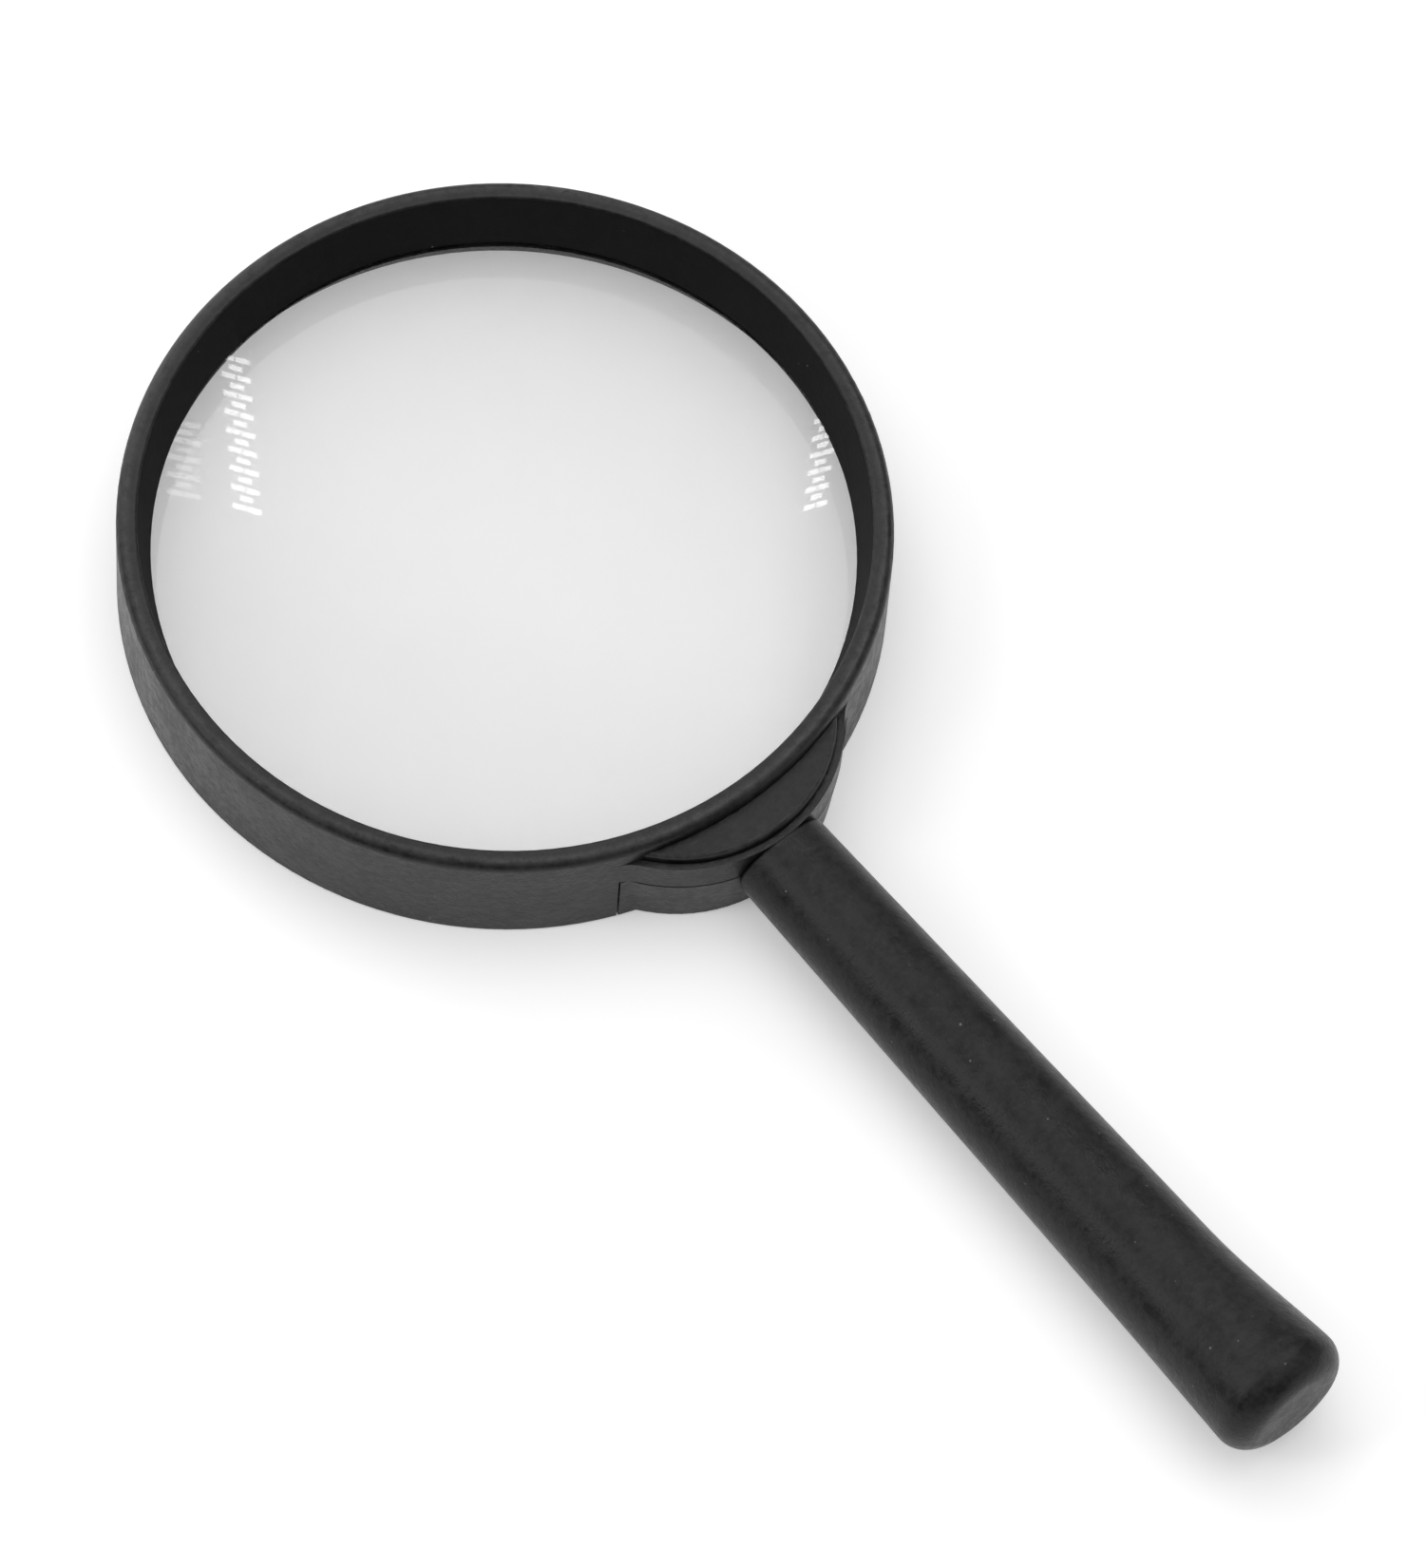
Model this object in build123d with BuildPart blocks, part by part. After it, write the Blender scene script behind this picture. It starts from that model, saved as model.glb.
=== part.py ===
from build123d import *
import math
import os

# Hand-held magnifying glass, millimetres, +Z up.
# The origin lies on the lens axis, in the plane of the rear rim that the glass rests on.
# The lens axis is Z, the hood opens upwards, and the handle runs along -Y.

# Ring of the front frame
rim_radius = 47.5
rim_height = 17.0  # rear rim to the mouth of the hood
hood_mouth_radius = 45.0
hood_throat_radius = 43.3  # hood just above the lens
pocket_radius = 45.4  # bore that takes the lens and the rear frame
mouth_rounding = 1.2
mouth_inner_rounding = 0.35
rim_rounding = 0.4

# Lens, with the same curve on both faces
lens_radius = 45.0
lens_curvature = 300.0
lens_edge_low = 6.4
lens_edge_high = 8.4
lens_bevel = 0.25
stop_height = 8.7  # lip of the front frame; its inner edge just clears the lens
seat_height = 6.2  # seat of the rear frame below the lens

# Rear frame: a retaining ring and the saddle that closes the handle's housing
rear_radius = 45.25
rear_bore_radius = 43.4  # at the seat
rear_mouth_radius = 44.8
rear_recess = 0.4  # the retaining ring stands back from the rim
rear_chamfer = 0.3
fit_gap = 0.05
overlap = 0.3  # how far joined or cutting shapes run past the face that they meet
lug_angles = (35, 90, 145)
lug_half_angle = 5.0
lug_reach = 0.45
lug_low = 1.7
lug_high = 2.9
lug_play = 0.15
lug_end_play = 0.3  # degrees, at each end of a lug

# Housing round the root of the handle: a crescent outside the ring
junction_centre = 32.95  # from the lens axis to the centre of the crescent's outer arc
junction_radius_base = 19.65
junction_radius = 20.4
junction_top = 14.2
junction_chamfer = 0.3
junction_blend = 5.0
saddle_half_angle = 22.3
saddle_play = 0.28  # degrees, at each end of the saddle
split_height = 9.3
split_gap = 0.2
split_chamfer = 0.15

# Cover plate over the screws
cover_radius = 19.4
cover_low = 13.6
cover_high = 15.2
cover_gap = 0.18
cover_play = 0.05
cover_rounding = 0.5
peg_radius = 0.7
peg_length = 1.0
peg_side = 3.6
peg_reach = 49.35

# Clamp screws, one on each side of the handle
screw_side = 8.5
screw_reach = 48.6
screw_radius = 1.0
screw_tip = 2.6
screw_head_radius = 1.6
screw_head_low = 12.0
screw_head_high = 13.3
screw_slot_depth = 0.7
screw_slot_width = 0.45
screw_slot_length = 2.0
hole_play = 0.12
pilot_play = 0.02
pilot_spare = 0.4  # depth of a pilot hole below the screw's tip

# Handle: a T-shaped head trapped in the housing, a neck and a hollow grip
handle_height = 8.5
head_near = 48.15
head_far = 50.45
head_half_width = 6.4
head_half_height = 3.7
head_rounding = 0.8
head_play = 0.1
neck_radius = 4.2
neck_end = 55.0
root_reach = 50.0  # the grip's cone starts here, and is coped to the housing's wall
root_gap = 0.15
root_rounding = 0.35
grip_root_radius = 6.23
grip_slope = 0.0196  # growth of the grip's radius along the handle
core_radius = 2.4
core_end = 132.0
flare_reach = 124.0  # the grip is a plain cone up to here
flare_length = 26.0  # the flare would level out at the end of this length
flare_growth = 0.93
flare_rise = 2.24
flare_sections = 7
handle_end = 147.9
end_rounding = 3.7

junction_axis = Axis((0, -junction_centre, 0), (0, 0, 1))
handle_axis = Axis((0, 0, handle_height), (0, -1, 0))
along_handle = Plane(origin=(0, 0, handle_height), x_dir=(0, -1, 0), z_dir=(-1, 0, 0))
junction_plane = Plane(origin=(0, -junction_centre, 0), x_dir=(1, 0, 0), z_dir=(0, -1, 0))
screw_places = ((-screw_side, -screw_reach), (screw_side, -screw_reach))
peg_places = ((-peg_side, -peg_reach), (peg_side, -peg_reach))


def across_handle(reach, height):
    """Plane across the handle at a distance from the lens axis, its normal along the handle."""
    return Plane(origin=(0, -reach, height), x_dir=(1, 0, 0), z_dir=(0, -1, 0))


def grip_radius(reach):
    """Radius of the grip's plain cone at a distance from the lens axis."""
    return grip_root_radius + grip_slope * (reach - root_reach)


def flare_ease(reach):
    """Smooth step from 0 at the start of the flare towards 1 at its end."""
    part_way = (reach - flare_reach) / flare_length
    return part_way * part_way * (3 - 2 * part_way)


def ring_sector(direction, half_angle, inner, outer):
    """Sketch of a ring sector about the lens axis, centred on a direction in degrees."""
    with BuildSketch() as sector:
        with BuildLine():
            outside = CenterArc((0, 0), outer, direction - half_angle, 2 * half_angle)
            inside = CenterArc((0, 0), inner, direction - half_angle, 2 * half_angle)
            Line(outside @ 0, inside @ 0)
            Line(outside @ 1, inside @ 1)
        make_face()
    return sector.sketch


def housing_outline():
    """Sketch of the crescent outside the ring, blended into the ring at both ends."""
    ring_side = rim_radius + junction_blend
    arc_side = junction_radius + junction_blend
    blend_reach = (ring_side**2 - arc_side**2 + junction_centre**2) / (2 * junction_centre)
    blend_place = Vector(math.sqrt(ring_side**2 - blend_reach**2), -blend_reach)
    arc_centre = Vector(0, -junction_centre)
    on_ring = blend_place * (rim_radius / ring_side)
    on_arc = arc_centre + (blend_place - arc_centre) * (junction_radius / arc_side)
    with BuildSketch() as outline:
        with BuildLine():
            Line((0, on_ring.Y), on_ring)
            blend = TangentArc(on_ring, on_arc, tangent=(on_ring.Y, -on_ring.X))
            TangentArc(on_arc, (0, -junction_centre - junction_radius), tangent=blend % 1)
            mirror(about=Plane.YZ)
        make_face()
    return outline.sketch


os.makedirs("parts", exist_ok=True)

# Front frame: ring, hood, lens stop and the upper half of the handle's housing
with BuildPart() as front_frame:
    Cylinder(rim_radius, rim_height, align=(Align.CENTER, Align.CENTER, Align.MIN))
    ring_edges = front_frame.edges().filter_by(GeomType.CIRCLE).sort_by(Axis.Z)
    fillet(ring_edges[0], radius=rim_rounding)
    ring_edges = front_frame.edges().filter_by(GeomType.CIRCLE).sort_by(Axis.Z)
    fillet(ring_edges[-1], radius=mouth_rounding)
    housing_base = split_height + split_gap / 2
    with BuildSketch(Plane.XY.offset(housing_base)):
        add(housing_outline())
    extrude(amount=junction_top - junction_chamfer - housing_base)
    with BuildSketch(Plane.XY.offset(junction_top - junction_chamfer)):
        add(housing_outline())
    extrude(amount=junction_chamfer, taper=45)
    # bore: pocket, lens stop and hood
    with BuildSketch(Plane.XZ):
        with BuildLine():
            Polyline(
                (0, 0),
                (pocket_radius, 0),
                (pocket_radius, stop_height),
                (hood_throat_radius, stop_height),
                (hood_mouth_radius, rim_height),
                (0, rim_height),
                close=True,
            )
        make_face()
    revolve(axis=Axis.Z, mode=Mode.SUBTRACT)
    mouth_edges = front_frame.edges().filter_by(GeomType.CIRCLE).group_by(Axis.Z)[-1]
    fillet(mouth_edges.sort_by(SortBy.RADIUS)[0], radius=mouth_inner_rounding)
    # notch that the saddle fills
    with BuildSketch():
        add(ring_sector(-90, saddle_half_angle, pocket_radius, rim_radius + overlap))
    extrude(amount=housing_base, mode=Mode.SUBTRACT)
    # recess of the cover plate
    with BuildSketch(Plane.XY.offset(cover_low)):
        with Locations((0, -junction_centre)):
            Circle(cover_radius + cover_gap)
        Circle(rim_radius, mode=Mode.SUBTRACT)
    extrude(amount=rim_height - cover_low, mode=Mode.SUBTRACT)
    with Locations(Plane.XY.offset(cover_low)):
        with Locations(*peg_places):
            Hole(peg_radius + hole_play / 2, depth=peg_length + hole_play)
        with Locations(*screw_places):
            CounterBoreHole(
                screw_radius + hole_play,
                screw_head_radius + hole_play,
                cover_low - screw_head_low,
                depth=cover_low - split_height,
            )
    # room for the head and neck of the handle
    with BuildSketch(across_handle(head_near - head_play, handle_height)):
        Rectangle(2 * (head_half_width + head_play), 2 * (head_half_height + head_play))
    extrude(amount=head_far - head_near + 2 * head_play, mode=Mode.SUBTRACT)
    with BuildSketch(across_handle(head_near, handle_height)):
        Circle(neck_radius + head_play)
    extrude(amount=neck_end - head_near, mode=Mode.SUBTRACT)
    # catches for the lugs of the rear frame
    for angle in lug_angles:
        with BuildSketch(Plane.XY.offset(lug_low - lug_play)):
            add(
                ring_sector(
                    angle,
                    lug_half_angle + lug_end_play,
                    pocket_radius - overlap,
                    rear_radius + lug_reach + lug_play,
                )
            )
        extrude(amount=lug_high - lug_low + 2 * lug_play, mode=Mode.SUBTRACT)
front_frame.part.label = "front_frame"
export_step(front_frame.part, "parts/front_frame.step")

# Rear frame: retaining ring with snap lugs, and the saddle under the handle's root
saddle_top = split_height - split_gap / 2
with BuildPart() as rear_frame:
    with BuildSketch(junction_plane):
        with BuildLine():
            Polyline(
                (0, 0),
                (junction_radius_base, 0),
                (junction_radius, saddle_top),
                (0, saddle_top),
                close=True,
            )
        make_face()
        chamfer(vertices().group_by(Axis.X)[-1], length=split_chamfer)
        fillet(vertices().group_by(Axis.Y)[0].sort_by(Axis.X)[-1], radius=rim_rounding)
    revolve(axis=junction_axis)
    with BuildSketch():
        Circle(rim_radius - rim_rounding)
    extrude(amount=rim_height, mode=Mode.SUBTRACT)
    # wall section flush with the front frame
    wall_half_angle = saddle_half_angle - saddle_play
    with BuildSketch(Plane.XZ.rotated((0, 0, -90 - wall_half_angle))):
        with BuildLine():
            Polyline(
                (rear_radius - overlap, 0),
                (rim_radius, 0),
                (rim_radius, saddle_top),
                (pocket_radius + fit_gap, saddle_top),
                (pocket_radius + fit_gap, seat_height),
                (rear_radius - overlap, seat_height),
                close=True,
            )
        make_face()
        outer_corners = vertices().group_by(Axis.X)[-1].sort_by(Axis.Y)
        chamfer(outer_corners[-1], length=split_chamfer)
        outer_corners = vertices().group_by(Axis.X)[-1].sort_by(Axis.Y)
        fillet(outer_corners[0], radius=rim_rounding)
    revolve(axis=Axis.Z, revolution_arc=2 * wall_half_angle)
    # retaining ring
    with BuildSketch(Plane.XZ):
        with BuildLine():
            Polyline(
                (rear_mouth_radius, rear_recess),
                (rear_radius, rear_recess),
                (rear_radius, seat_height),
                (rear_bore_radius, seat_height),
                close=True,
            )
        make_face()
        chamfer(vertices().sort_by(Axis.X)[0], length=rear_chamfer)
    revolve(axis=Axis.Z)
    for angle in lug_angles:
        with BuildSketch(Plane.XY.offset(lug_low)):
            add(
                ring_sector(angle, lug_half_angle, rear_radius - overlap, rear_radius + lug_reach)
            )
        extrude(amount=lug_high - lug_low)
    # room for the head and neck of the handle, and pilot holes for the screws
    with BuildSketch(across_handle(head_near - head_play, handle_height)):
        Rectangle(2 * (head_half_width + head_play), 2 * (head_half_height + head_play))
    extrude(amount=head_far - head_near + 2 * head_play, mode=Mode.SUBTRACT)
    with BuildSketch(across_handle(head_near, handle_height)):
        Circle(neck_radius + head_play)
    extrude(amount=neck_end - head_near, mode=Mode.SUBTRACT)
    with Locations(Plane.XY.offset(saddle_top)):
        with Locations(*screw_places):
            Hole(screw_radius + pilot_play, depth=saddle_top - screw_tip + pilot_spare)
rear_frame.part.label = "rear_frame"
export_step(rear_frame.part, "parts/rear_frame.step")

# Lens
lens_sag = lens_curvature - math.sqrt(lens_curvature**2 - lens_radius**2)
with BuildPart() as lens:
    with BuildSketch(Plane.XZ):
        with BuildLine():
            pole_low = (0, lens_edge_low - lens_sag)
            pole_high = (0, lens_edge_high + lens_sag)
            edge_low = (lens_radius, lens_edge_low)
            edge_high = (lens_radius, lens_edge_high)
            Line(pole_high, pole_low)
            RadiusArc(pole_low, edge_low, -lens_curvature)
            Line(edge_low, edge_high)
            RadiusArc(edge_high, pole_high, -lens_curvature)
        make_face()
        chamfer(vertices().group_by(Axis.X)[-1], length=lens_bevel)
    revolve(axis=Axis.Z)
lens.part.label = "lens"
export_step(lens.part, "parts/lens.step")

# Handle: head and neck inside the housing, hollow core, grip with a turned-up end
with BuildPart() as handle:
    with BuildSketch(along_handle):
        with BuildLine():
            Polyline(
                (root_reach, 0),
                (root_reach, grip_radius(root_reach)),
                (flare_reach, grip_radius(flare_reach)),
                (flare_reach, 0),
                close=True,
            )
        make_face()
    revolve(axis=handle_axis)
    for step in range(flare_sections):
        reach = flare_reach + (handle_end - flare_reach) * step / (flare_sections - 1)
        ease = flare_ease(reach)
        with BuildSketch(across_handle(reach, handle_height + flare_rise * ease)):
            Circle(grip_radius(reach) + flare_growth * ease)
    loft()
    grip_ends = handle.faces().filter_by(GeomType.PLANE).sort_by(Axis.Y)
    fillet(grip_ends[0].edges(), radius=end_rounding)
    with BuildSketch():
        with Locations((0, -junction_centre)):
            Circle(junction_radius + root_gap)
    extrude(amount=rim_height, mode=Mode.SUBTRACT)
    root_edges = handle.edges().group_by(Axis.Y)[-1]
    fillet(root_edges, radius=root_rounding)
    with BuildSketch(across_handle(head_near, handle_height)):
        Rectangle(2 * head_half_width, 2 * head_half_height)
        fillet(vertices(), radius=head_rounding)
    extrude(amount=head_far - head_near)
    with BuildSketch(across_handle(head_near, handle_height)):
        Circle(neck_radius)
    extrude(amount=neck_end - head_near)
    with BuildSketch(across_handle(head_near, handle_height)):
        Circle(core_radius)
    extrude(amount=core_end - head_near, mode=Mode.SUBTRACT)
handle.part.label = "handle"
export_step(handle.part, "parts/handle.step")

# Cover plate: a thin crescent with two pegs
with BuildPart() as junction_cover:
    with BuildSketch(junction_plane):
        with BuildLine():
            Polyline(
                (0, cover_low + cover_play),
                (cover_radius, cover_low + cover_play),
                (cover_radius, cover_high),
                (0, cover_high),
                close=True,
            )
        make_face()
        fillet(vertices().group_by(Axis.Y)[-1].sort_by(Axis.X)[-1], radius=cover_rounding)
    revolve(axis=junction_axis)
    with BuildSketch():
        Circle(rim_radius + cover_play)
    extrude(amount=rim_height, mode=Mode.SUBTRACT)
    with BuildSketch(Plane.XY.offset(cover_low + cover_play)):
        with Locations(*peg_places):
            Circle(peg_radius)
    extrude(amount=-peg_length)
junction_cover.part.label = "junction_cover"
export_step(junction_cover.part, "parts/junction_cover.step")

# Clamp screws, two alike
with BuildPart() as clamp_screws:
    with BuildSketch(Plane.XY.offset(screw_tip)):
        with Locations(*screw_places):
            Circle(screw_radius)
    extrude(amount=screw_head_low - screw_tip)
    with BuildSketch(Plane.XY.offset(screw_head_low)):
        with Locations(*screw_places):
            Circle(screw_head_radius)
    extrude(amount=screw_head_high - screw_head_low)
    with BuildSketch(Plane.XY.offset(screw_head_high)):
        with Locations(*screw_places):
            Rectangle(screw_slot_length, screw_slot_width)
            Rectangle(screw_slot_width, screw_slot_length)
    extrude(amount=-screw_slot_depth, mode=Mode.SUBTRACT)
clamp_screws.part.label = "clamp_screws"
export_step(clamp_screws.part, "parts/clamp_screws.step")

for piece in (front_frame, rear_frame, lens, handle, junction_cover, clamp_screws):
    solids = len(piece.part.solids())
    print(piece.part.label, solids, round(piece.part.volume), piece.part.is_valid)
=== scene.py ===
import math

import bmesh
import bpy
from mathutils import Matrix, Vector


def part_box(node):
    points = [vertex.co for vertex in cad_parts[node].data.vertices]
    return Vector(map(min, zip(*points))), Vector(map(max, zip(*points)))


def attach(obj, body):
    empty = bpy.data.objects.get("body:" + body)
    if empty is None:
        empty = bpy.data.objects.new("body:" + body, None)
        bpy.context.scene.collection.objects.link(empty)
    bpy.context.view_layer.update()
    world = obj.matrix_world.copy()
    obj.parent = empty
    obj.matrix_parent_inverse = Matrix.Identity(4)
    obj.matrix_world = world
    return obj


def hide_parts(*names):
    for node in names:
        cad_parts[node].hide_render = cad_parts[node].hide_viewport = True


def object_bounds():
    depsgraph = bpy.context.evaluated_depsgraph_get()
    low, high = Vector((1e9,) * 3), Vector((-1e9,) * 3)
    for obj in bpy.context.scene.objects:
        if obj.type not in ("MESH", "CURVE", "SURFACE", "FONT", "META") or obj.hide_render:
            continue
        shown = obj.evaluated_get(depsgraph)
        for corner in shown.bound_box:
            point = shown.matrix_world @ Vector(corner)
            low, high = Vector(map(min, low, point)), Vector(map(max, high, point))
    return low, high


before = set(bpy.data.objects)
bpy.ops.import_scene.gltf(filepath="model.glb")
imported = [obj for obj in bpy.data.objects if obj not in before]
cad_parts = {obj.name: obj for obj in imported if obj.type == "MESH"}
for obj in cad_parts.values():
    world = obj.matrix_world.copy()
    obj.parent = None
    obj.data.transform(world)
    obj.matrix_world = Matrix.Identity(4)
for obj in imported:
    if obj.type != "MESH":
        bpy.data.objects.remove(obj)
cad_low, cad_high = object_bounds()

# Everything is in metres. The lens axis is Z, the rear rim rests on Z = 0, the handle runs along -Y.
MM = 0.001

lens_low, lens_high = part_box("lens")
cover_low, cover_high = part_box("junction_cover")
frame_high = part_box("front_frame")[1]


# ---------------------------------------------------------------- camera
CAMERA_AZIMUTH = math.radians(-44.317)
CAMERA_ELEVATION = math.radians(63.378)
CAMERA_ROLL = math.radians(5.151)
CAMERA_DISTANCE = 1395.7 * MM
CAMERA_LENS = 262.1  # with the sensor's width, both in millimetres
CAMERA_SENSOR = 36
CLIP_START = 0.1
CLIP_END = 20
AIM_OFFSET = Vector((2.62, 12.8, 0)) * MM  # from the middle of the object's footprint


def make_camera():
    """A long lens above the near side of the glass, with the handle towards the lower right."""
    middle = (cad_low + cad_high) / 2
    aim = Vector((middle.x, middle.y, cad_low.z)) + AIM_OFFSET
    sin_a, cos_a = math.sin(CAMERA_AZIMUTH), math.cos(CAMERA_AZIMUTH)
    sin_e, cos_e = math.sin(CAMERA_ELEVATION), math.cos(CAMERA_ELEVATION)
    level_right = Vector((cos_a, sin_a, 0))
    back = Vector((sin_a * cos_e, -cos_a * cos_e, sin_e))
    level_up = back.cross(level_right)
    right = level_right * math.cos(CAMERA_ROLL) + level_up * math.sin(CAMERA_ROLL)
    up = back.cross(right)
    data = bpy.data.cameras.new("camera")
    data.lens = CAMERA_LENS
    data.sensor_width = CAMERA_SENSOR
    data.clip_start = CLIP_START
    data.clip_end = CLIP_END
    camera = bpy.data.objects.new("camera", data)
    turn = Matrix((right, up, back)).transposed().to_4x4()
    camera.matrix_world = Matrix.Translation(aim + back * CAMERA_DISTANCE) @ turn
    bpy.context.scene.collection.objects.link(camera)
    bpy.context.scene.camera = camera
    return level_right, Vector((-sin_a, cos_a, 0))


camera_right, camera_away = make_camera()


def toward(right, away, height):
    """A point given by how far it is to the camera's right, away from the camera, and up."""
    return camera_right * right + camera_away * away + Vector((0, 0, height))


# ---------------------------------------------------------------- nodes
SPECK_CORE = 0.6  # share of a speck's radius that is solid
CHOICE_STEP = 0.01  # how softly the cells that hold a speck are told from the others


def new_material(name):
    """A node material, with its tree and its shader."""
    material = bpy.data.materials.new(name)
    material.use_nodes = True
    tree = material.node_tree
    return material, tree, tree.nodes["Principled BSDF"]


def spread(tree, value, from_low, from_high, to_low, to_high):
    """Map a value from one range to another, with its ends held."""
    mapped = tree.nodes.new("ShaderNodeMapRange")
    mapped.inputs["From Min"].default_value = from_low
    mapped.inputs["From Max"].default_value = from_high
    mapped.inputs["To Min"].default_value = to_low
    mapped.inputs["To Max"].default_value = to_high
    tree.links.new(value, mapped.inputs["Value"])
    return mapped.outputs["Result"]


def combine(tree, operation, *values):
    """The result of an operation on one or two values, each a number or a socket."""
    joined = tree.nodes.new("ShaderNodeMath")
    joined.operation = operation
    for socket, value in zip(joined.inputs, values):
        if isinstance(value, (int, float)):
            socket.default_value = value
        else:
            tree.links.new(value, socket)
    return joined.outputs["Value"]


def blend(tree, share, first, second):
    """Mix two colours, each a tuple or a socket, by a share from 0 to 1."""
    mixed = tree.nodes.new("ShaderNodeMix")
    mixed.data_type = "RGBA"
    tree.links.new(share, mixed.inputs["Factor"])
    for socket, value in zip((mixed.inputs["A"], mixed.inputs["B"]), (first, second)):
        if isinstance(value, tuple):
            socket.default_value = value
        else:
            tree.links.new(value, socket)
    return mixed.outputs["Result"]


def bump(tree, shader, height, distance):
    """Relief of this depth on the shader's surface."""
    node = tree.nodes.new("ShaderNodeBump")
    node.inputs["Distance"].default_value = distance
    tree.links.new(height, node.inputs["Height"])
    tree.links.new(node.outputs["Normal"], shader.inputs["Normal"])


def object_place(tree):
    """The place on the object."""
    return tree.nodes.new("ShaderNodeTexCoord").outputs["Object"]


def noise(tree, size, detail, roughness=0.5):
    """Noise with features of about this size."""
    texture = tree.nodes.new("ShaderNodeTexNoise")
    texture.inputs["Scale"].default_value = 1 / size
    texture.inputs["Detail"].default_value = detail
    texture.inputs["Roughness"].default_value = roughness
    tree.links.new(object_place(tree), texture.inputs["Vector"])
    return texture.outputs["Fac"]


def specks(tree, spacing, radius, share):
    """Scattered round specks: 1 inside a speck, 0 elsewhere. Only a share of the cells hold one."""
    cells = tree.nodes.new("ShaderNodeTexVoronoi")
    cells.inputs["Scale"].default_value = 1 / spacing
    tree.links.new(object_place(tree), cells.inputs["Vector"])
    rim = radius / spacing
    inside = spread(tree, cells.outputs["Distance"], rim, SPECK_CORE * rim, 0, 1)
    chosen = tree.nodes.new("ShaderNodeSeparateColor")
    tree.links.new(cells.outputs["Color"], chosen.inputs["Color"])
    kept = spread(tree, chosen.outputs["Red"], 1 - share, 1 - share + CHOICE_STEP, 0, 1)
    return combine(tree, "MULTIPLY", inside, kept)


def upright_axis(tree, reach):
    """Distance from an upright axis that stands this far along -Y, and the height."""
    moved = tree.nodes.new("ShaderNodeVectorMath")
    moved.inputs[1].default_value = (0, reach, 0)
    tree.links.new(object_place(tree), moved.inputs[0])
    parts = tree.nodes.new("ShaderNodeSeparateXYZ")
    tree.links.new(moved.outputs["Vector"], parts.inputs["Vector"])
    squares = [combine(tree, "MULTIPLY", parts.outputs[axis], parts.outputs[axis]) for axis in "XY"]
    return combine(tree, "SQRT", combine(tree, "ADD", *squares)), parts.outputs["Z"]


# ---------------------------------------------------------------- black plastic
PLASTIC_DARK = (0.003, 0.003, 0.0031, 1)
PLASTIC_LIGHT = (0.015, 0.015, 0.0152, 1)
# painted highlight: the lighter colour of the bands along the rim's crown and the cover's edge
PLASTIC_PAINTED_HIGHLIGHT = (0.034, 0.034, 0.034, 1)
HOOD_LINING = (0.007, 0.007, 0.007, 1)
DUST = (0.14, 0.14, 0.138, 1)
DUST_SPECKS = ((2.0 * MM, 0.14 * MM), (4.0 * MM, 0.2 * MM))  # spacing and radius of each layer

CLOUD_SIZE = 5 * MM
MOTTLE_SIZE = 1.1 * MM
MOTTLE_WEIGHT = 2  # in the tone, against the clouds
TONE_LOW = 1.2  # the weighted sum of clouds and mottle where the plastic is darkest
TONE_HIGH = 1.8
GRAIN_SIZE = 0.3 * MM
GRAIN_WEIGHT = 0.4  # in the relief, against the mottle

HOOD_RADIUS = 45.1 * MM  # what is nearer to the lens axis than this, below the hood's top, is matte
HOOD_TOP = frame_high.z - 0.3 * MM

COVER_RADIUS = 19.4 * MM
# painted highlight along the cover's rounded edge
COVER_PAINTED_HIGHLIGHT = {
    "reach": -cover_low.y - COVER_RADIUS,
    "radius": COVER_RADIUS - 0.15 * MM,
    "width": 0.4 * MM,
    "lowest": cover_high.z - 0.6 * MM,
}
# painted highlight along the crown of the rim's top
RIM_PAINTED_HIGHLIGHT = {
    "reach": 0,
    "radius": frame_high.x - 1.1 * MM,
    "width": 0.65 * MM,
    "lowest": frame_high.z - 1.0 * MM,
}
# how the mottle breaks up the bands of painted highlight
HIGHLIGHT_MOTTLE_LOW = 0.3  # the mottle where a band of painted highlight shows least
HIGHLIGHT_MOTTLE_HIGH = 0.6
HIGHLIGHT_LEAST = 0.2


def hood_wall(tree):
    """1 inside the hood and the bore below it, 0 elsewhere."""
    radius, height = upright_axis(tree, 0)
    inside = combine(tree, "LESS_THAN", radius, HOOD_RADIUS)
    below = combine(tree, "LESS_THAN", height, HOOD_TOP)
    return combine(tree, "MULTIPLY", inside, below)


def painted_highlight_band(tree, mottle, reach, radius, width, lowest):
    """A soft band of painted highlight round an upright axis, above a height, broken up by the mottle.
    """
    distance, height = upright_axis(tree, reach)
    off = combine(tree, "ABSOLUTE", combine(tree, "SUBTRACT", distance, radius))
    band = spread(tree, off, 0, width, 1, 0)
    above = combine(tree, "GREATER_THAN", height, lowest)
    highlight_strength = spread(tree, mottle, HIGHLIGHT_MOTTLE_LOW, HIGHLIGHT_MOTTLE_HIGH, HIGHLIGHT_LEAST, 1)
    return combine(tree, "MULTIPLY", combine(tree, "MULTIPLY", band, above), highlight_strength)


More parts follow.
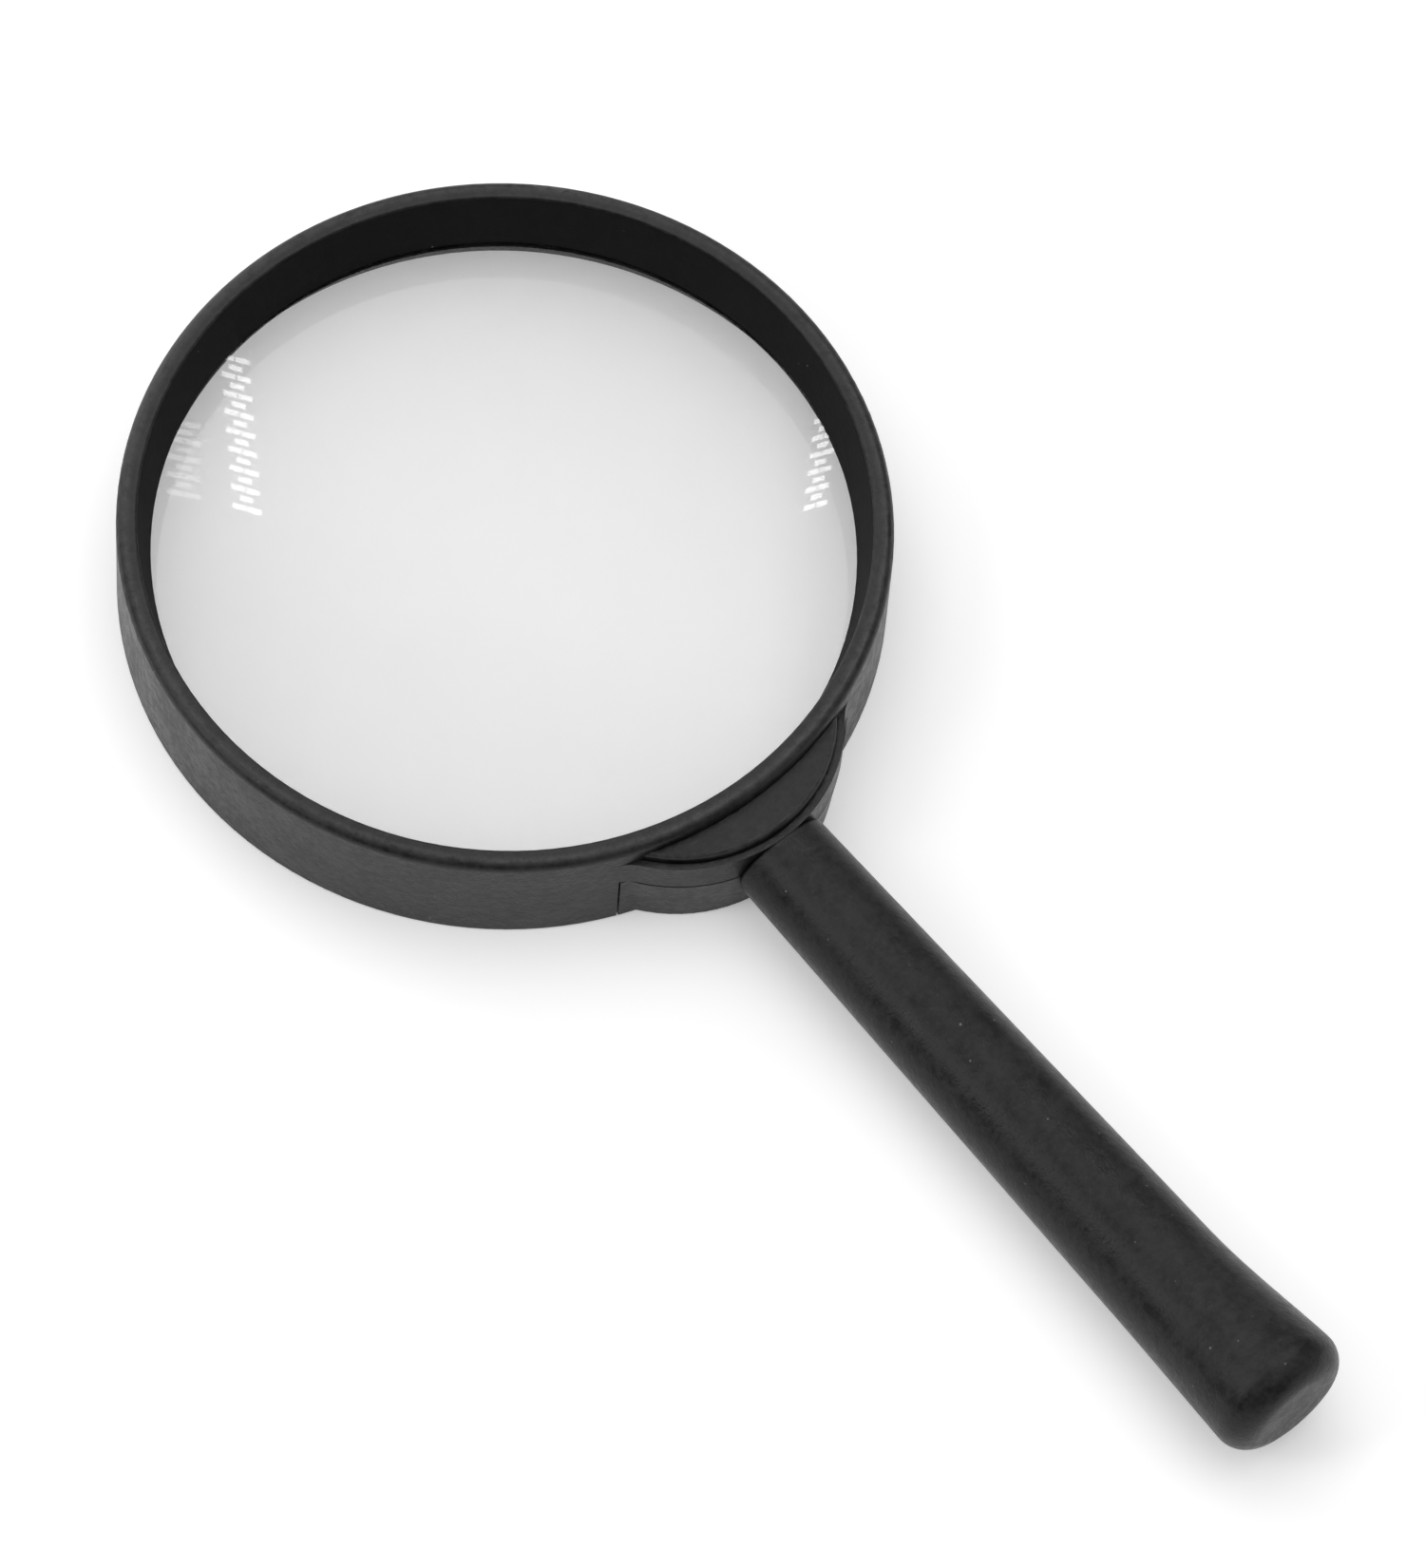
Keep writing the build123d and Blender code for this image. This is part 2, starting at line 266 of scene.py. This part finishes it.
def black_plastic(name, index, relief, smoothest, roughest, dusty, painted_highlight=None):
    """Moulded black plastic: mottled grain, an uneven gloss, a band of painted highlight where one is
    given, and a few specks of dust.
    """
    material, tree, shader = new_material(name)
    shader.inputs["IOR"].default_value = index
    clouds = noise(tree, CLOUD_SIZE, detail=3)
    mottle = noise(tree, MOTTLE_SIZE, detail=4, roughness=0.65)
    mixture = combine(tree, "ADD", clouds, combine(tree, "MULTIPLY", mottle, MOTTLE_WEIGHT))
    tone = spread(tree, mixture, TONE_LOW, TONE_HIGH, 0, 1)
    dust = combine(tree, "ADD", *[specks(tree, *layer, dusty) for layer in DUST_SPECKS])
    hood = hood_wall(tree)
    base = blend(tree, hood, blend(tree, tone, PLASTIC_DARK, PLASTIC_LIGHT), HOOD_LINING)
    # paint a band of highlight into the base colour
    if painted_highlight:
        base = blend(tree, painted_highlight_band(tree, mottle, **painted_highlight), base, PLASTIC_PAINTED_HIGHLIGHT)
    tree.links.new(blend(tree, dust, base, DUST), shader.inputs["Base Color"])
    gloss = combine(tree, "MAXIMUM", spread(tree, tone, 0, 1, smoothest, roughest), hood)
    tree.links.new(combine(tree, "MAXIMUM", gloss, dust), shader.inputs["Roughness"])
    grain = noise(tree, GRAIN_SIZE, detail=2, roughness=0.6)
    height = combine(tree, "ADD", combine(tree, "MULTIPLY", grain, GRAIN_WEIGHT), mottle)
    bump(tree, shader, height, relief)
    return material


# ---------------------------------------------------------------- glass and steel
LENS_IOR = 1.5
GLASS_DIM = (0.955, 0.955, 0.955, 1)
GLASS_CLEAR = (0.975, 0.975, 0.975, 1)
GLASS_DUST = (0.86, 0.86, 0.86, 1)
GLASS_ROUGHEST = 0.02
FILM_SIZE = 3.5 * MM
FILM_HAZY = 0.6  # the film is rough only where it is stronger than this

STEEL_DARK = (0.45, 0.45, 0.46, 1)
STEEL_LIGHT = (0.6, 0.6, 0.61, 1)
STEEL_SMOOTHEST = 0.22
STEEL_ROUGHEST = 0.38
STEEL_PATCHES = 0.6 * MM
STEEL_MARKS = 0.12 * MM
STEEL_RELIEF = 0.01 * MM

NOISE_LOW = 0.35  # most of a noise lies between these two
NOISE_HIGH = 0.65


def clear_glass(name):
    """Polished glass with a faint cloudy film and a few specks of dust."""
    material, tree, shader = new_material(name)
    shader.inputs["IOR"].default_value = LENS_IOR
    shader.inputs["Transmission Weight"].default_value = 1
    clouds = noise(tree, FILM_SIZE, detail=5, roughness=0.65)
    film = spread(tree, clouds, NOISE_LOW, NOISE_HIGH, 0, 1)
    dust = specks(tree, spacing=2.5 * MM, radius=0.12 * MM, share=0.2)
    base = blend(tree, dust, blend(tree, film, GLASS_DIM, GLASS_CLEAR), GLASS_DUST)
    tree.links.new(base, shader.inputs["Base Color"])
    tree.links.new(spread(tree, film, FILM_HAZY, 1, 0, GLASS_ROUGHEST), shader.inputs["Roughness"])
    return material


def plated_steel(name):
    """Zinc-plated steel, with fine marks and a faintly uneven gloss."""
    material, tree, shader = new_material(name)
    shader.inputs["Metallic"].default_value = 1
    tone = spread(tree, noise(tree, STEEL_PATCHES, detail=3), NOISE_LOW, NOISE_HIGH, 0, 1)
    tree.links.new(blend(tree, tone, STEEL_DARK, STEEL_LIGHT), shader.inputs["Base Color"])
    gloss = spread(tree, tone, 0, 1, STEEL_SMOOTHEST, STEEL_ROUGHEST)
    tree.links.new(gloss, shader.inputs["Roughness"])
    bump(tree, shader, noise(tree, STEEL_MARKS, detail=2), STEEL_RELIEF)
    return material


# ---------------------------------------------------------------- each piece's material
def give(node, material):
    """Put one material on a CAD piece."""
    node.data.materials.clear()
    node.data.materials.append(material)


def frame_plastic(name, painted_highlight=None):
    """The plastic that both frames have."""
    return black_plastic(
        name, index=1.39, relief=0.09 * MM, smoothest=0.34, roughest=0.5, dusty=0.1, painted_highlight=painted_highlight
    )


def handle_plastic(name):
    """A little duller than the frames, and dustier."""
    return black_plastic(name, index=1.31, relief=0.09 * MM, smoothest=0.3, roughest=0.44, dusty=0.25)


def cover_plastic(name):
    """A little smoother than the frames, with a highlight painted along its edge."""
    return black_plastic(
        name, index=1.35, relief=0.08 * MM, smoothest=0.34, roughest=0.5, dusty=0.1, painted_highlight=COVER_PAINTED_HIGHLIGHT
    )


glass = clear_glass("lens_glass")
# the front frame carries the rim's band of painted highlight
give(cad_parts["front_frame"], frame_plastic("frame_plastic", RIM_PAINTED_HIGHLIGHT))
give(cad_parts["rear_frame"], frame_plastic("rear_plastic"))
give(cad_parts["handle"], handle_plastic("handle_plastic"))
give(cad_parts["junction_cover"], cover_plastic("cover_plastic"))
give(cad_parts["clamp_screws"], plated_steel("screw_steel"))


# ---------------------------------------------------------------- lens
LENS_SEGMENTS = 256
LENS_RINGS = 48
LENS_BEVEL = 0.25 * MM
LENS_CURVE = 300 * MM  # radius of both faces
SHARP_ANGLE = math.radians(20)


def sag(r):
    """How far a face of the lens has fallen away from its pole at a distance from the axis."""
    return LENS_CURVE - math.sqrt(LENS_CURVE**2 - r**2)


def lens_profile(radius, low, high):
    """Half section of the lens, from the lower pole to the upper, as rings of a radius and a height."""
    flat = radius - LENS_BEVEL
    steps = [flat * step / LENS_RINGS for step in range(1, LENS_RINGS + 1)]
    below = [(r, low + sag(r)) for r in steps]
    edge = [(radius, low + sag(radius) + LENS_BEVEL), (radius, high - sag(radius) - LENS_BEVEL)]
    above = [(r, high - sag(r)) for r in reversed(steps)]
    return below + edge + above


def make_lens():
    """The lens as a finer mesh than the CAD's, so that what it bends and mirrors is smooth."""
    mesh = bmesh.new()
    turns = [2 * math.pi * k / LENS_SEGMENTS for k in range(LENS_SEGMENTS)]
    rings = []
    for r, z in lens_profile((lens_high.x - lens_low.x) / 2, lens_low.z, lens_high.z):
        rings.append([mesh.verts.new((r * math.cos(turn), r * math.sin(turn), z)) for turn in turns])
    bottom = mesh.verts.new((0, 0, lens_low.z))
    top = mesh.verts.new((0, 0, lens_high.z))
    for k in range(LENS_SEGMENTS):
        after = (k + 1) % LENS_SEGMENTS
        mesh.faces.new((bottom, rings[0][after], rings[0][k]))
        mesh.faces.new((top, rings[-1][k], rings[-1][after]))
        for inner, outer in zip(rings, rings[1:]):
            mesh.faces.new((inner[k], inner[after], outer[after], outer[k]))
    for face in mesh.faces:
        face.smooth = True
    bmesh.ops.recalc_face_normals(mesh, faces=mesh.faces)
    for edge in mesh.edges:
        if edge.calc_face_angle(0) > SHARP_ANGLE:
            edge.smooth = False
    data = bpy.data.meshes.new("lens_clear")
    mesh.to_mesh(data)
    mesh.free()
    data.materials.append(glass)
    lens = bpy.data.objects.new("lens_clear", data)
    bpy.context.scene.collection.objects.link(lens)
    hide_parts("lens")
    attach(lens, "root")


make_lens()


# ---------------------------------------------------------------- floor and light
FLOOR_SIZE = 6
FLOOR_WHITE = (0.88, 0.88, 0.88, 1)
FLOOR_ROUGHNESS = 0.9
FLOOR_GLOW = 0.27
WHITE = (1, 1, 1, 1)

# Where the room's brightness changes: two cosines to an axis, and the strengths at them.
DEPTH_AXIS = toward(0.3, 0.95, 0)
BEHIND_CAMERA = (-0.8, 0.1, 0.15, 1.0)  # along the depth axis
FAR_WALL = (0.46, 0.68, 1.0, 0.5)  # along the depth axis
SIDES = (0.42, 0.5, 1.7, 0.75)  # to the camera's left and right
SKIRTING = (0.1, 0.5, 0.4, 1.0)  # upwards


def make_floor():
    """A white floor that glows a little, so that it stays white away from the object."""
    bpy.ops.mesh.primitive_plane_add(size=FLOOR_SIZE)
    floor = bpy.context.object
    floor.name = "floor"
    material, _, shader = new_material("floor_white")
    shader.inputs["Base Color"].default_value = FLOOR_WHITE
    shader.inputs["Roughness"].default_value = FLOOR_ROUGHNESS
    shader.inputs["Specular IOR Level"].default_value = 0
    shader.inputs["Emission Color"].default_value = WHITE
    shader.inputs["Emission Strength"].default_value = FLOOR_GLOW
    floor.data.materials.append(material)


def along_direction(tree, direction, axis):
    """The cosine between a direction and a fixed axis."""
    product = tree.nodes.new("ShaderNodeVectorMath")
    product.operation = "DOT_PRODUCT"
    product.inputs[1].default_value = axis
    tree.links.new(direction, product.inputs[0])
    return product.outputs["Value"]


def make_world():
    """A white room: brightest overhead, dimmer at the sides, the far wall and low down, dark behind."""
    world = bpy.data.worlds.new("studio")
    bpy.context.scene.world = world
    world.use_nodes = True
    tree = world.node_tree
    direction = tree.nodes.new("ShaderNodeTexCoord").outputs["Generated"]
    depth = along_direction(tree, direction, DEPTH_AXIS)
    side = combine(tree, "ABSOLUTE", along_direction(tree, direction, camera_right))
    height = along_direction(tree, direction, (0, 0, 1))
    room = combine(tree, "MULTIPLY", spread(tree, depth, *BEHIND_CAMERA), spread(tree, side, *SIDES))
    walls = combine(tree, "MULTIPLY", spread(tree, height, *SKIRTING), spread(tree, depth, *FAR_WALL))
    background = tree.nodes["Background"]
    background.inputs["Color"].default_value = WHITE
    tree.links.new(combine(tree, "MULTIPLY", room, walls), background.inputs["Strength"])


def soft_box(name, place, width, height, radiance):
    """A rectangular light of an even radiance, turned towards the foot of the lens axis."""
    data = bpy.data.lights.new(name, "AREA")
    data.shape = "RECTANGLE"
    data.size = width
    data.size_y = height
    data.energy = 4 * radiance * width * height
    light = bpy.data.objects.new(name, data)
    light.location = place
    light.rotation_mode = "QUATERNION"
    light.rotation_quaternion = (-place).to_track_quat("-Z", "Y")
    light.visible_transmission = False  # no image of it in the lens
    bpy.context.scene.collection.objects.link(light)


make_floor()
make_world()
soft_box("left_window", toward(-1.05, -0.4, 0.85), width=0.4, height=0.9, radiance=3.2)
soft_box("left_strip", toward(-1.02, 1.02, 0.39), width=0.9, height=0.9, radiance=2.0)


# ---------------------------------------------------------------- lamp rows that the lens mirrors
LAMP_RADIANCE = 45
FAINT_RADIANCE = 0.09 * LAMP_RADIANCE
LAMP_DISTANCE = 1.0  # from the lens, along the mirrored ray
LAMP_FILL = 0.9  # share of the spacing between two lamps that a lamp's image fills
LAMP_WIDTH = 0.75 * MM  # of a lamp's image on the lens


def refract(ray, normal, ratio):
    """A ray's direction after a surface whose normal faces it, by the ratio of the two indices."""
    facing = -ray.dot(normal)
    return ratio * ray + (ratio * facing - math.sqrt(1 - ratio**2 * (1 - facing**2))) * normal


def meet_sphere(place, ray, centre):
    """Where a ray from inside a lens face's sphere leaves the sphere."""
    offset = place - centre
    along = offset.dot(ray)
    return place + ray * (math.sqrt(along**2 - offset.length_squared + LENS_CURVE**2) - along)


def mirrored(right, away):
    """Where the lens's lower face sends the camera's ray that enters the lens at a place on its top."""
    upper_centre = Vector((0, 0, lens_high.z - LENS_CURVE))
    lower_centre = Vector((0, 0, lens_low.z + LENS_CURVE))
    entry = toward(right, away, lens_high.z - sag(math.hypot(right, away)))
    ray = (entry - bpy.context.scene.camera.matrix_world.translation).normalized()
    ray = refract(ray, (entry - upper_centre).normalized(), 1 / LENS_IOR)
    turn = meet_sphere(entry, ray, lower_centre)
    ray = ray.reflect((lower_centre - turn).normalized())
    leave = meet_sphere(turn, ray, upper_centre)
    ray = refract(ray, (upper_centre - leave).normalized(), LENS_IOR)
    return leave + ray * LAMP_DISTANCE


def lamp_corners(right, away, rows, row_spacing, lamp_spacing, lean, slant):
    """The corners of each lamp's image on the lens: rows of two and of one by turns.

    The rows lie round a centre, given by its distances to the camera's right and away. The lean is how
    far to the right each row is set for its distance away, and the slant is how each row climbs.
    """
    for row in range(rows):
        columns = (-0.5, 0.5) if row % 2 == 0 else (0.0,)
        row_away = (row - (rows - 1) / 2) * row_spacing
        for column in columns:
            lamp_right = right + column * lamp_spacing + lean * row_away
            lamp_away = away + row_away + slant * column * lamp_spacing
            corners = []
            for side, end in ((-1, -1), (1, -1), (1, 1), (-1, 1)):
                across = side * LAMP_FILL * lamp_spacing / 2
                corners.append((lamp_right + across, lamp_away + slant * across + end * LAMP_WIDTH / 2))
            yield corners


def lamp_rows(name, radiance, **layout):
    """A bank of small lamps above the glass, placed so that the lens mirrors it in one place."""
    mesh = bmesh.new()
    for corners in lamp_corners(**layout):
        mesh.faces.new([mesh.verts.new(mirrored(*corner)) for corner in corners])
    data = bpy.data.meshes.new(name)
    mesh.to_mesh(data)
    mesh.free()
    material, tree, shader = new_material(name)
    tree.nodes.remove(shader)
    glow = tree.nodes.new("ShaderNodeEmission")
    glow.inputs["Strength"].default_value = radiance
    tree.links.new(glow.outputs["Emission"], tree.nodes["Material Output"].inputs["Surface"])
    material.cycles.emission_sampling = "NONE"
    data.materials.append(material)
    lamps = bpy.data.objects.new(name, data)
    lamps.visible_camera = False
    lamps.visible_diffuse = False
    lamps.visible_shadow = False
    bpy.context.scene.collection.objects.link(lamps)


lamp_rows(
    "lamps_left",
    LAMP_RADIANCE,
    right=-33.65 * MM,
    away=12.5 * MM,
    rows=17,
    row_spacing=1.335 * MM,
    lamp_spacing=1.95 * MM,
    lean=-0.17,
    slant=-0.28,
)
lamp_rows(
    "lamps_right",
    LAMP_RADIANCE,
    right=37.7 * MM,
    away=16.1 * MM,
    rows=11,
    row_spacing=1.25 * MM,
    lamp_spacing=1.5 * MM,
    lean=0.03,
    slant=0.5,
)
lamp_rows(
    "lamps_faint",
    FAINT_RADIANCE,
    right=-40.3 * MM,
    away=8.6 * MM,
    rows=9,
    row_spacing=1.25 * MM,
    lamp_spacing=2.2 * MM,
    lean=-0.1,
    slant=-0.2,
)

bpy.context.scene.view_settings.view_transform = "Standard"
